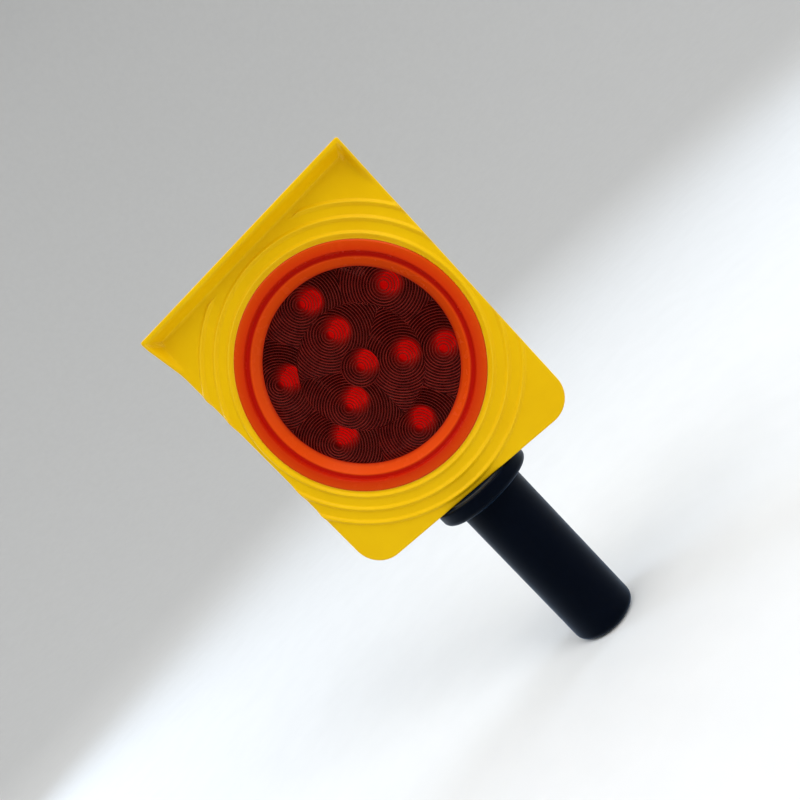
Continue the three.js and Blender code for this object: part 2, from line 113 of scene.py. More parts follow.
def rounded(points, steps=5):
    """A closed path through (x, y, radius) corners, each rounded with an arc of `steps` pieces."""
    out = []
    count = len(points)
    for i, (x, y, radius) in enumerate(points):
        here = Vector((x, y))
        if radius <= 0:
            out.append(here)
            continue
        before = (Vector(points[i - 1][:2]) - here).normalized()
        after = (Vector(points[(i + 1) % count][:2]) - here).normalized()
        half = before.angle(after) / 2
        reach = radius / math.tan(half)
        centre = here + (before + after).normalized() * (radius / math.sin(half))
        start = here + before * reach - centre
        finish = here + after * reach - centre
        turn = start.angle_signed(finish)
        for step in range(steps + 1):
            angle = -turn * step / steps
            out.append(centre + Matrix.Rotation(angle, 2) @ start)
    return [(p.x, p.y) for p in out]


def new_object(name, data, *finishes):
    piece = bpy.data.objects.new(name, data)
    bpy.context.scene.collection.objects.link(piece)
    give(piece, *finishes)
    return piece


def give(piece, *finishes):
    """Adds material slots to the piece."""
    for finish in finishes:
        piece.data.materials.append(finish)


def mesh_from(name, points, faces, material=None, parts=None):
    """A new object from points in millimetres, with its normals turned outwards."""
    mesh = bpy.data.meshes.new(name)
    mesh.from_pydata([Vector(p) * MM for p in points], [], faces)
    if parts is not None:
        mesh.polygons.foreach_set("material_index", parts)
    mesh.update()
    body = bmesh.new()
    body.from_mesh(mesh)
    bmesh.ops.remove_doubles(body, verts=body.verts, dist=1e-7)
    bmesh.ops.recalc_face_normals(body, faces=body.faces)
    if body.calc_volume(signed=True) < 0:
        bmesh.ops.reverse_faces(body, faces=body.faces)
    body.to_mesh(mesh)
    body.free()
    return new_object(name, mesh, *([material] if material else []))


def loft(name, loops, material=None):
    """A closed solid through loops of equal point counts, capped at both ends."""
    count = len(loops[0])
    points = [p for loop in loops for p in loop]
    faces = [list(range(count)), list(range(len(points) - count, len(points)))]
    for row in range(len(loops) - 1):
        a, b = row * count, (row + 1) * count
        for i in range(count):
            j = (i + 1) % count
            faces.append([a + i, a + j, b + j, b + i])
    return mesh_from(name, points, faces, material)


def lathe(name, profile, centre, axis, segments, material=None):
    """A solid of revolution from a closed list of (radius, height along the axis)."""
    points, rings = [], []
    for r, h in profile:
        ring = []
        for i in range(segments if r > 1e-6 else 1):
            angle = 2 * math.pi * i / segments
            u, v = r * math.cos(angle), r * math.sin(angle)
            at = (centre[0] + u, h, centre[1] + v) if axis == "Y" else (centre[0] + u, centre[1] + v, h)
            ring.append(len(points))
            points.append(at)
        rings.append(ring)
    faces = []
    for row, ring in enumerate(rings):
        follow = rings[(row + 1) % len(rings)]
        if len(ring) == 1 and len(follow) == 1:
            continue
        for i in range(segments):
            j = (i + 1) % segments
            corners = [ring[i % len(ring)], ring[j % len(ring)]]
            corners += [follow[j % len(follow)], follow[i % len(follow)]]
            face = list(dict.fromkeys(corners))
            if len(face) > 2:
                faces.append(face)
    return mesh_from(name, points, faces, material)


def carve(target, tool, operation="DIFFERENCE"):
    """Joins the tool to the target or cuts it out, and removes the tool."""
    step = target.modifiers.new("carve", "BOOLEAN")
    step.operation = operation
    step.object = tool
    step.solver = "MANIFOLD"
    apply_modifiers(target)
    bpy.data.objects.remove(tool)
    return target


def apply_modifiers(piece):
    graph = bpy.context.evaluated_depsgraph_get()
    mesh = bpy.data.meshes.new_from_object(piece.evaluated_get(graph))
    piece.modifiers.clear()
    old = piece.data
    piece.data = mesh
    bpy.data.meshes.remove(old)


def smooth(piece, degrees=32):
    """Smooth shading with sharp edges kept, and flats left flat."""
    mesh = piece.data
    body = bmesh.new()
    body.from_mesh(mesh)
    bmesh.ops.dissolve_degenerate(body, dist=1e-7, edges=body.edges)
    for face in body.faces:
        face.smooth = True
    limit = math.radians(degrees)
    for edge in body.edges:
        edge.smooth = len(edge.link_faces) == 2 and edge.calc_face_angle(0) < limit
    body.to_mesh(mesh)
    body.free()
    step = piece.modifiers.new("weighted", "WEIGHTED_NORMAL")
    step.keep_sharp = True
    step.weight = 60
    return piece


def finish_piece(piece, body, slot, *nodes):
    """Puts the piece in its body and hides the nodes that it replaces. The slot is not used."""
    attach(piece, body)
    if nodes:
        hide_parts(*nodes)
    return piece


# Materials


def set_inputs(node, **values):
    """Sets a node's own sockets. An underscore stands for a space."""
    for name, value in values.items():
        node.inputs[name.replace("_", " ")].default_value = value


class Nodes:
    """A material's node tree, with short calls for the nodes used here."""

    def __init__(self, name):
        self.material = bpy.data.materials.new(name)
        self.material.use_nodes = True
        self.tree = self.material.node_tree
        self.shader = self.tree.nodes["Principled BSDF"]
        self.output = self.tree.nodes["Material Output"]
        self.place = self.add("ShaderNodeTexCoord").outputs["Object"]

    def add(self, kind, **settings):
        node = self.tree.nodes.new(kind)
        for key, value in settings.items():
            setattr(node, key, value)
        return node

    def link(self, a, b):
        self.tree.links.new(a, b)

    def noise(self, scale, detail=4.0, roughness=0.55, distortion=0.0):
        node = self.add("ShaderNodeTexNoise")
        self.link(self.place, node.inputs["Vector"])
        set_inputs(node, Scale=scale, Detail=detail, Roughness=roughness, Distortion=distortion)
        return node.outputs["Fac"]

    def ramp(self, source, stops):
        node = self.add("ShaderNodeValToRGB")
        self.link(source, node.inputs["Fac"])
        elements = node.color_ramp.elements
        while len(elements) < len(stops):
            elements.new(0.5)
        for element, (position, colour) in zip(elements, stops):
            element.position = position
            element.color = (colour, colour, colour, 1.0) if isinstance(colour, float) else (*colour, 1.0)
        return node.outputs["Color"]

    def math(self, operation, a, b=None):
        node = self.add("ShaderNodeMath", operation=operation)
        for socket, value in zip(node.inputs, (a, b)):
            if value is None:
                continue
            if isinstance(value, (int, float)):
                socket.default_value = value
            else:
                self.link(value, socket)
        return node.outputs[0]

    def uneven(self, value, scale, amount):
        """The value, moved up and down a little by noise."""
        wave = self.math("SUBTRACT", self.noise(scale, 3.0), 0.5)
        return self.math("ADD", value, self.math("MULTIPLY", wave, amount))

    def bump(self, height, strength, distance, under=None):
        node = self.add("ShaderNodeBump")
        self.link(height, node.inputs["Height"])
        set_inputs(node, Strength=strength, Distance=distance)
        if under is not None:
            self.link(under, node.inputs["Normal"])
        return node.outputs["Normal"]

    def drive(self, name, source):
        self.link(source, self.shader.inputs[name])

    def set(self, **values):
        set_inputs(self.shader, **values)


def edge_mask(n, radius):
    """Where the surface turns sharply, broken up by noise: 0 on flats, up to 1 along edges."""
    bevel = n.add("ShaderNodeBevel", samples=4)
    set_inputs(bevel, Radius=radius)
    here = n.add("ShaderNodeNewGeometry")
    dot = n.add("ShaderNodeVectorMath", operation="DOT_PRODUCT")
    n.link(bevel.outputs[0], dot.inputs[0])
    n.link(here.outputs["Normal"], dot.inputs[1])
    turned = n.math("SUBTRACT", 1.0, dot.outputs["Value"])
    worn = n.math("MULTIPLY", n.math("MULTIPLY", turned, 7.0), n.noise(420.0, 4.0))
    return n.math("MINIMUM", worn, 1.0)


def mixed(n, share, under, over, kind="RGBA"):
    """A mix of two colours or numbers, each a fixed value or a node's output."""
    node = n.add("ShaderNodeMix", data_type=kind)
    n.link(share, node.inputs[0])
    a, b, out = (6, 7, 2) if kind == "RGBA" else (2, 3, 0)
    for index, value in ((a, under), (b, over)):
        if isinstance(value, tuple):
            node.inputs[index].default_value = (*value, 1.0)
        elif isinstance(value, float):
            node.inputs[index].default_value = value
        else:
            n.link(value, node.inputs[index])
    return node.outputs[out]


def moulded_plastic(name, light, dark, worn, rough, bump=0.06, specular=0.5, tint=(1.0, 1.0, 1.0)):
    """Moulded plastic: faint mottling, uneven gloss, a fine grain, soft flow marks and worn edges."""
    n = Nodes(name)
    mottle = n.ramp(n.noise(38.0, 5.0), [(0.3, dark), (0.7, light)])
    low, high = rough
    gloss = n.ramp(n.noise(160.0, 3.0), [(0.3, low), (0.72, high)])
    if worn is not None:
        edges = edge_mask(n, 0.0006)
        mottle = mixed(n, edges, mottle, worn)
        gloss = mixed(n, edges, gloss, high + 0.2, "FLOAT")
    n.drive("Base Color", mottle)
    n.drive("Roughness", gloss)
    grain = n.bump(n.noise(2600.0, 2.0), bump, 0.00006)
    flow = n.bump(n.noise(24.0, 2.0, 0.4, 0.6), bump, 0.0006, grain)
    n.drive("Normal", flow)
    n.set(IOR=1.5, Specular_IOR_Level=specular, Specular_Tint=(*tint, 1.0))
    return n.material


def simple_finish(name, light, dark, rough, metallic=0.0, scale=220.0, bump=0.05, specular=0.5):
    """A small part's finish: colour and gloss that vary a little, with a fine grain."""
    n = Nodes(name)
    n.drive("Base Color", n.ramp(n.noise(scale, 4.0), [(0.35, dark), (0.65, light)]))
    low, high = rough
    n.drive("Roughness", n.ramp(n.noise(scale * 2.3, 3.0), [(0.3, low), (0.7, high)]))
    n.drive("Normal", n.bump(n.noise(scale * 9.0, 2.0), bump, 0.00005))
    n.set(Metallic=metallic, Specular_IOR_Level=specular)
    return n.material


def glowing(material, colour, strength):
    """Adds a faint glow to a finish."""
    shader = material.node_tree.nodes["Principled BSDF"]
    set_inputs(shader, Emission_Color=(*colour, 1.0), Emission_Strength=strength)
    return material


def red_glass(name, colour, rough):
    """Clear red moulding that lets lamps reach what is behind it."""
    n = Nodes(name)
    dull = tuple(c * 0.9 for c in colour)
    n.drive("Base Color", n.ramp(n.noise(60.0, 3.0), [(0.3, dull), (0.7, colour)]))
    n.set(IOR=1.49, Roughness=rough, Transmission_Weight=1.0)
    n.set(Specular_IOR_Level=0.1, Specular_Tint=(0.5, 0.08, 0.06, 1.0))
    clear = n.add("ShaderNodeBsdfTransparent")
    set_inputs(clear, Color=(*colour, 1.0))
    ray = n.add("ShaderNodeLightPath")
    mix = n.add("ShaderNodeMixShader")
    n.link(ray.outputs["Is Shadow Ray"], mix.inputs["Fac"])
    n.link(n.shader.outputs[0], mix.inputs[1])
    n.link(clear.outputs[0], mix.inputs[2])
    n.link(mix.outputs[0], n.output.inputs["Surface"])
    return n.material


def lens_radius(n):
    """The distance from the lens's axis, as a node value in metres."""
    split = n.add("ShaderNodeSeparateXYZ")
    n.link(n.place, split.inputs[0])
    x = n.math("SUBTRACT", split.outputs[0], LENS_X * MM)
    z = n.math("SUBTRACT", split.outputs[2], LENS_Z * MM)
    return n.math("SQRT", n.math("ADD", n.math("MULTIPLY", x, x), n.math("MULTIPLY", z, z)))


def milky_red_painted_light(name):
    """The lens's border, red moulding with light and shade painted into its colour: painted light from the
    yellow behind makes the cone and the outer band orange, and painted shade makes the groove between a deeper
    red.
    """
    n = Nodes(name)
    start, stop = 39.0, 50.0  # the radii between which the colours run
    share = n.math("DIVIDE", n.math("SUBTRACT", lens_radius(n), start * MM), (stop - start) * MM)
    # Painted light and shade by radius: darker at the inner edge, orange on the cone, painted shade in the
    # groove, orange again on the outer band.
    stops = [
        (0.02, (0.42, 0.014, 0.002)),
        (0.14, (0.70, 0.060, 0.003)),
        (0.34, (0.76, 0.066, 0.003)),
        (0.42, (0.46, 0.004, 0.001)),
        (0.52, (0.46, 0.004, 0.001)),
        (0.62, (0.60, 0.030, 0.002)),
        (0.95, (0.66, 0.060, 0.002)),
    ]
    n.drive("Base Color", n.ramp(n.uneven(share, 30.0, 0.06), stops))
    n.drive("Roughness", n.ramp(n.noise(180.0, 3.0), [(0.3, 0.2), (0.7, 0.3)]))
    n.drive("Normal", n.bump(n.noise(22.0, 2.0, 0.4, 0.5), 0.05, 0.0005))
    n.set(IOR=1.49, Specular_IOR_Level=0.2, Specular_Tint=(1.0, 0.35, 0.2, 1.0))
    return n.material


def cup_painted_glow(name):
    """A reflector cup: black at its mouth, and red further in, where its LED's light is painted into the colour
    and painted on as a glow.
    """
    n = Nodes(name)
    mouth = box_mm("reflector_plate")[0][1]
    split = n.add("ShaderNodeSeparateXYZ")
    n.link(n.place, split.inputs[0])
    inward = n.math("DIVIDE", n.math("SUBTRACT", split.outputs[1], mouth * MM), CUP_DEEP * MM)
    depth = n.uneven(inward, 500.0, 0.08)
    # Painted light: the colour turns red deeper in the cup, standing in for its LED's light.
    stops = [(0.0, (0.01, 0.003, 0.002)), (0.3, (0.05, 0.003, 0.002)), (0.8, (0.4, 0.006, 0.003))]
    n.drive("Base Color", n.ramp(depth, stops))
    # Painted glow: the cup is no lamp, but this emission paints its LED's light on it.
    glow = [(0.0, (0.01, 0.0, 0.0)), (0.3, (0.06, 0.001, 0.0)), (0.8, (1.0, 0.01, 0.003))]
    n.drive("Emission Color", n.ramp(depth, glow))
    n.set(Emission_Strength=0.2)
    n.drive("Roughness", n.ramp(n.noise(240.0, 4.0), [(0.3, 0.35), (0.7, 0.5)]))
    n.drive("Normal", n.bump(n.noise(900.0, 2.0), 0.05, 0.00004))
    return n.material


def clear_cover(name):
    """A clear plastic sheet with a faint haze: mostly see-through, glossy on top."""
    n = Nodes(name)
    n.set(IOR=1.49, Base_Color=(0.9, 0.92, 0.95, 1))
    n.drive("Roughness", n.ramp(n.noise(140.0, 4.0), [(0.3, 0.06), (0.7, 0.12)]))
    clear = n.add("ShaderNodeBsdfTransparent")
    mix = n.add("ShaderNodeMixShader")
    n.link(n.ramp(n.noise(50.0, 5.0), [(0.35, 0.05), (0.8, 0.09)]), mix.inputs["Fac"])
    n.link(clear.outputs[0], mix.inputs[1])
    n.link(n.shader.outputs[0], mix.inputs[2])
    n.link(mix.outputs[0], n.output.inputs["Surface"])
    return n.material


YELLOW = moulded_plastic(
    "yellow_plastic",
    (0.86, 0.52, 0.001),
    (0.81, 0.47, 0.0005),
    (0.9, 0.6, 0.05),
    (0.3, 0.4),
    specular=0.16,
    tint=(1.0, 0.85, 0.4),
)
BLACK = moulded_plastic(
    "black_plastic",
    (0.0008, 0.0013, 0.0036),
    (0.0005, 0.0008, 0.0026),
    (0.009, 0.011, 0.016),
    (0.3, 0.42),
    specular=0.05,
    tint=(0.45, 0.65, 1.0),
)
set_inputs(  # the bluish bloom of rubbed black plastic
    BLACK.node_tree.nodes["Principled BSDF"],
    Sheen_Weight=0.19,
    Sheen_Roughness=0.35,
    Sheen_Tint=(0.18, 0.48, 1.0, 1.0),
)
INNER_BLACK = simple_finish(
    "inner_black", (0.012, 0.009, 0.009), (0.007, 0.005, 0.005), (0.5, 0.65), specular=0.2
)
RUBBER = simple_finish("rubber", (0.03, 0.03, 0.031), (0.02, 0.02, 0.021), (0.6, 0.75), bump=0.12)
SILICONE = simple_finish("silicone", (0.75, 0.74, 0.7), (0.66, 0.65, 0.61), (0.4, 0.55))
LENS_CLEAR = red_glass("lens_clear", (0.78, 0.035, 0.006), 0.05)
LENS_CREST = simple_finish(
    "lens_crest", (0.19, 0.014, 0.009), (0.12, 0.007, 0.005), (0.35, 0.5), scale=300.0, specular=0.03
)
# The lens border's finish, with painted light and painted shade in its colour.
LENS_MILKY_PAINTED_LIGHT = milky_red_painted_light("lens_milky_painted_light")
COVER = clear_cover("clear_cover_plastic")
SILICON = simple_finish("silicon_cells", (0.012, 0.022, 0.09), (0.006, 0.01, 0.045), (0.2, 0.34), 0.0, 90.0)
LED_RED = glowing(
    simple_finish("led_red", (0.75, 0.012, 0.004), (0.6, 0.008, 0.003), (0.08, 0.16)), (1.0, 0.012, 0.004), 0.4
)
# The cups' finish, with their LEDs' light painted into its colour and emission.
CUP_PAINTED_GLOW = cup_painted_glow("cup_painted_glow")
STEEL = simple_finish("zinc_steel", (0.62, 0.63, 0.65), (0.48, 0.49, 0.52), (0.22, 0.36), 1.0)
NICKEL = simple_finish("nickel_strip", (0.66, 0.63, 0.55), (0.55, 0.52, 0.46), (0.25, 0.4), 1.0)
BOARD = simple_finish("circuit_board", (0.03, 0.16, 0.06), (0.02, 0.12, 0.045), (0.3, 0.45))
CHIP = simple_finish("chip_black", (0.03, 0.03, 0.032), (0.02, 0.02, 0.022), (0.4, 0.55))
NYLON = simple_finish("nylon_white", (0.78, 0.75, 0.66), (0.7, 0.67, 0.58), (0.35, 0.5))
WRAP = simple_finish("cell_wrap", (0.03, 0.13, 0.5), (0.025, 0.1, 0.42), (0.2, 0.3))
LEAD_RED = simple_finish("lead_red", (0.5, 0.012, 0.01), (0.42, 0.01, 0.008), (0.3, 0.45))
LEAD_BLACK = simple_finish("lead_black", (0.02, 0.02, 0.02), (0.012, 0.012, 0.012), (0.3, 0.45))


# The shells


def head_outline(inset=0.0, top_inset=None):
    """The head's outline in X and Z: sharp corners at the top, round ones at the bottom."""
    top = HEAD_TOP - (inset if top_inset is None else top_inset)
    bottom = HEAD_BOTTOM + inset
    wide, narrow = HALF_WIDE - inset, HALF_NARROW - inset
    round_low = max(CORNER - inset, 0.2)
    round_high = max(SHARP_CORNER - inset, 0.05)
    corners = [(-narrow, bottom, round_low), (narrow, bottom, round_low)]
    corners += [(wide, top, round_high), (-wide, top, round_high)]
    return rounded(corners, CORNER_STEPS)


def inside_distance(points, outline):
    """Each point's distance to the nearest side of the outline."""
    p = np.array(points)[:, None, :]
    a = np.array(outline)[None, :, :]
    b = np.roll(a, -1, axis=1)
    along = b - a
    share = ((p - a) * along).sum(2) / np.maximum((along**2).sum(2), 1e-12)
    near = a + np.clip(share, 0, 1)[:, :, None] * along
    return np.sqrt(((p - near) ** 2).sum(2)).min(1)


def narrowing(y):
    """The share of its width that the head still has at depth y."""
    return 1 - DRAFT * (y - FACE + LIP_REACH) / HALF_WIDE


def drafted(piece):
    """Draws the sides in towards the back."""
    for vertex in piece.data.vertices:
        vertex.co.x *= narrowing(vertex.co.y / MM)
    return piece


def round_over(distance, radius):
    """How far a rounded edge drops at a distance from it."""
    share = np.clip(distance / radius, 0, 1)
    return radius * (1 - np.sqrt(np.clip(1 - (1 - share) ** 2, 0, 1)))


def rim_section(distance, crest, fall):
    """The share of its full height that a rim has at a distance from its outer edge."""
    return 0.5 * (1 + np.cos(np.pi * np.clip((distance - crest) / fall, 0, 1)))


def rim_rise(x, z):
    """The roof's edge and the gussets that slope down from it at both sides."""
    share = (z - HEAD_BOTTOM) / (HEAD_TOP - HEAD_BOTTOM)
    side = HALF_NARROW + (HALF_WIDE - HALF_NARROW) * share - np.abs(x)
    slope = np.clip((z - (HEAD_TOP - LIP_THICK - GUSSET)) / GUSSET, 0, 1)
    edge = rim_section(HEAD_TOP - z, LIP_CREST, LIP_FALL)
    gusset = slope * rim_section(side, GUSSET_CREST, GUSSET_FALL)
    return LIP_REACH * (edge + gusset - edge * gusset)


def bead_height(radius, z):
    """The raised rings' height at a radius from the lens's axis. They end just below the roof's edge."""
    height = np.zeros_like(radius)
    for bead in BEADS:
        share = np.clip(np.abs(radius - bead) / BEAD_HALF, 0, 1)
        height = np.maximum(height, BEAD_HEIGHT * 0.5 * (1 + np.cos(np.pi * share)))
    return height * np.clip((HEAD_TOP - z - BEAD_END) / BEAD_FADE, 0, 1)


def circle(radius, count):
    """A circle round the lens's axis that is still round once the sides are drawn in."""
    return [
        (
            (LENS_X + radius * math.cos(2 * math.pi * i / count)) / narrowing(FACE),
            LENS_Z + radius * math.sin(2 * math.pi * i / count),
        )
        for i in range(count)
    ]


def resampled(outline, spacing):
    """The outline with extra points along its long sides."""
    out = []
    for i, a in enumerate(outline):
        b = outline[(i + 1) % len(outline)]
        count = max(1, math.ceil(math.dist(a, b) / spacing))
        out += [(a[0] + (b[0] - a[0]) * k / count, a[1] + (b[1] - a[1]) * k / count) for k in range(count)]
    return out


def shell_block(name, side, edge, with_beads):
    """One half of the head as a solid block: side is -1 for the front and 1 for the back."""
    points, edges = [], []

    def contour(path, keep=None):
        start = len(points)
        points.extend(Vector(p) for p in path)
        for i in range(len(path)):
            j = (i + 1) % len(path)
            if keep is None or (keep(*path[i]) and keep(*path[j])):
                edges.append((start + i, start + j))

    def inset_contour(inset, keep=None):
        contour(resampled(head_outline(inset), OUTLINE_STEP), keep)

    def on_rim(x, z):
        return z > HEAD_TOP - LIP_THICK - GUSSET - 1

    def on_face(x, z):
        return abs(x) < HALF_NARROW - 0.05 and z < HEAD_TOP - 1.0

    inset_contour(0.0)
    for k in range(1, 6):
        inset_contour(edge * (1 - math.cos(k * math.pi / 10)))
    for inset in RIM_INSETS + COVE_INSETS:
        inset_contour(inset, on_rim)
    if with_beads:
        for bead in BEADS:
            for step in BEAD_STEPS:
                contour(circle(bead + BEAD_HALF * step, 200), on_face)
        for inset in (edge + 0.5, edge + 1.0):
            inset_contour(inset)
    flat, _, faces, *_ = delaunay_2d_cdt(points, edges, [], 0, 1e-5)
    plane = np.array([tuple(p) for p in flat])
    outer = head_outline()
    distance = inside_distance(plane, outer)
    keep = {i for i in range(len(plane)) if distance[i] < 1e-3 or inside(plane[i], outer)}
    faces = [f for f in faces if all(i in keep for i in f)]
    radius = np.hypot(plane[:, 0] * narrowing(FACE) - LENS_X, plane[:, 1] - LENS_Z)
    rise = rim_rise(plane[:, 0], plane[:, 1])
    if with_beads:
        rise = np.maximum(rise, bead_height(radius, plane[:, 1]))
        rise = rise - round_over(radius - LENS_RADIUS - MOUTH_START, MOUTH_ROUND)
    rise = rise - round_over(distance, edge)
    depth = side * (HALF_DEPTH + rise)
    front = [(x, y, z) for (x, z), y in zip(plane, depth)]
    return drafted(closed_block(name, front, faces, side))


def inside(point, outline):
    """True if the point is inside the outline."""
    x, z = point
    within = False
    for (x0, z0), (x1, z1) in zip(outline, outline[1:] + outline[:1]):
        if (z0 > z) != (z1 > z) and x < x0 + (x1 - x0) * (z - z0) / (z1 - z0):
            within = not within
    return within


def closed_block(name, front, faces, side):
    """Gives a surface its walls, a chamfer at the parting line and a flat back."""
    count = {}
    for face in faces:
        for a, b in zip(face, face[1:] + face[:1]):
            count[(a, b)] = count.get((a, b), 0) + 1
    border = {a: b for a, b in count if (b, a) not in count}
    start = next(iter(border))
    loop = [start]
    while border[loop[-1]] != start:
        loop.append(border[loop[-1]])
    points = list(front)
    faces = list(faces)
    centre_z = (HEAD_TOP + HEAD_BOTTOM) / 2
    previous = loop
    for inset, back in ((0.0, PARTING + 0.35), (CHAMFER, PARTING)):
        ring = []
        for i in loop:
            x, _, z = front[i]
            ring.append(len(points))
            shrink_x, shrink_z = 1 - inset / HALF_WIDE, 1 - inset / (HEAD_TOP - centre_z)
            points.append((x * shrink_x, side * back, centre_z + (z - centre_z) * shrink_z))
        for i in range(len(loop)):
            j = (i + 1) % len(loop)
            faces.append([previous[j], previous[i], ring[i], ring[j]])
        previous = ring
    faces.append(previous[::-1])
    return mesh_from(name, points, faces)


def slab(name, outline, y0, y1):
    """The outline in X and Z, drawn out from y0 to y1."""
    return loft(name, [[(x, y, z) for x, z in outline] for y in (y0, y1)])


def rod_y(radius, y0, y1, x, z, segments=40):
    return lathe("rod", [(0, y0), (radius, y0), (radius, y1), (0, y1)], (x, z), "Y", segments)


def rod_z(radius, z0, z1, x, y, segments=64):
    return lathe("rod", [(0, z0), (radius, z0), (radius, z1), (0, z1)], (x, y), "Z", segments)


def wall_groove():
    """The loop that the seal's groove takes out of both shells."""
    roof = ROOF - WALL
    outer, inner, deep = 0.8, 2.2, 1.2
    groove = slab("groove", head_outline(outer, outer + roof), -deep, deep)
    return drafted(carve(groove, slab("core", head_outline(inner, inner + roof), -2, 2)))


SHELL_SCREWS = range(1, 7)


def screw_places():
    return [middle(f"shell_screw_{i}") for i in SHELL_SCREWS]


def common_cuts(block):
    """What both shells lose: the neck's hole, the solar panel's recess and the seal's groove."""
    low, high = box_mm("solar_window")
    panel_low, _ = box_mm("solar_panel")
    x0, y0, x1, y1 = low[0] - PANEL_GAP, low[1] - PANEL_GAP, high[0] + PANEL_GAP, high[1] + PANEL_GAP
    path = rounded([(x0, y0, 0.8), (x1, y0, 0.8), (x1, y1, 0.8), (x0, y1, 0.8)], 4)
    levels = (panel_low[2] - PANEL_GAP, HEAD_TOP + 1)
    carve(block, loft("recess", [[(x, y, z) for x, y in path] for z in levels]))
    carve(block, rod_z(NECK_HOLE, HEAD_BOTTOM - 1, HEAD_BOTTOM + WALL + 1, 0, 0))
    carve(block, wall_groove())
    return block


def finished_shell(block, node):
    """The last cuts and the looks that both shells share."""
    common_cuts(block)
    block.data.materials.clear()
    give(block, YELLOW)
    smooth(block)
    return finish_piece(block, BODY, "yellow_shell", node)


def front_shell():
    """The front half: the face, the barrel that holds the lens, and the screw bosses."""
    block = shell_block("front_shell_moulding", -1, 0.6, True)
    cavity_front = FACE + WALL
    carve(block, drafted(slab("cavity", head_outline(WALL, ROOF), cavity_front, 1)))
    carve(block, rod_y(OPENING, FACE - 3, cavity_front + 0.1, LENS_X, LENS_Z, 200))
    ledge = box_mm("lens_gasket")[1][1] + 0.3
    wide, slim, bore, back = 52, 49.2, 45.4, 5.7
    path = [
        (OPENING, FACE + 0.6, 0),
        (wide, FACE + 0.6, 0),
        (wide, cavity_front + 1, 0.4),
        (slim, cavity_front + 3.8, 0.4),
        (slim, back, 0.3),
        (bore + 0.8, back, 0.3),
        (bore + 0.8, -1, 0),
        (bore, -1, 0),
        (bore, ledge, 0.2),
        (OPENING, ledge, 0),
    ]
    barrel = rounded(path, 3)
    carve(block, lathe("barrel", barrel, (LENS_X, LENS_Z), "Y", 160), "UNION")
    for x, _, z in screw_places():
        carve(block, rod_y(SCREW_BOSS, cavity_front - 0.4, -PARTING, x, z), "UNION")
        carve(block, rod_y(1.5, -12, 1, x, z, 24))
    for i in range(1, 4):
        x, _, z = middle(f"board_screw_{i}")
        carve(block, rod_y(1.25, -2, 7, x, z, 20))
    return finished_shell(block, "front_shell")


def rear_shell():
    """The back half, with its counterbored screw holes and the hole for the push button."""
    block = shell_block("rear_shell_moulding", 1, 2.0, False)
    cavity_back = HALF_DEPTH - WALL
    carve(block, drafted(slab("cavity", head_outline(WALL, ROOF), -1, cavity_back)))
    for x, _, z in screw_places():
        carve(block, rod_y(SCREW_BOSS, PARTING, cavity_back + 0.4, x, z), "UNION")
        carve(block, rod_y(1.8, -1, 17, x, z, 28))
        seat, rim, past, bore = 12.6, 15.3, 17, 3.2
        mouth = [(0, seat, 0), (bore, seat, 0), (bore, rim, 0)]
        mouth += [(bore + 0.5, rim + 0.5, 0), (bore + 0.5, past, 0), (0, past, 0)]
        carve(block, lathe("counterbore", rounded(mouth), (x, z), "Y", 48))
    x, _, z = middle("button_cap")
    carve(block, rod_y(CAP_RADIUS + CAP_GAP, 10, 18, x, z, 96))
    lead_low, lead_high = box_mm("solar_lead_red")
    lead_x = (lead_low[0] + lead_high[0]) / 2 - 1
    carve(block, rod_z(2, HEAD_TOP - ROOF - 1, HEAD_TOP, lead_x, 8, 32))
    return finished_shell(block, "rear_shell")


# The lens: a turned rim, and a sunken disc of ring prisms centred on each LED

PATTERN = 39.4  # the prism disc's radius
PITCH = 1.14  # from one prism ring to the next
ZONES = ((0.0, 7.8, 1), (7.8, 25.4, 3), (25.4, PATTERN, 6))  # inner radius, outer radius, LEDs
DISH = FACE + 4.6  # where the sunken disc's front lies
LENS_THICK = 2.4
CORE = 2.0  # the plain middle of each zone
LAND = 0.2  # a ring's flat crest
RISER = 0.16  # the width of the riser behind each ring
FOCUS = 20.0
STEEPEST = 0.46
ZONE_DEEP = 0.8
ZONE_OVERLAP = 0.02  # how far each zone runs into its neighbour
DIRECTIONS = 80  # rays round each LED's axis
CLEAR_PART, CREST_PART, MILKY_PART = range(3)


def zone_reach(own, angle, low, high, half):
    """How far a ray from a LED's axis runs before it leaves its own zone of the disc."""
    direction = np.array([math.cos(angle), math.sin(angle)])
    along = own @ direction
    own_square = own @ own
    reach = -along + math.sqrt(max(along**2 - own_square + high**2, 0))
    if low > 0:
        inner = along**2 - own_square + low**2
        if inner > 0 and -along - math.sqrt(inner) > 0:
            reach = min(reach, -along - math.sqrt(inner))
    if half is not None:
        middle_angle = math.atan2(own[1], own[0])
        for edge in (middle_angle - half, middle_angle + half):
            normal = np.array([-math.sin(edge), math.cos(edge)])
            speed = direction @ normal
            if abs(speed) > 1e-9:
                hit = -(own @ normal) / speed
                if hit > 1e-6:
                    reach = min(reach, hit)
    return reach


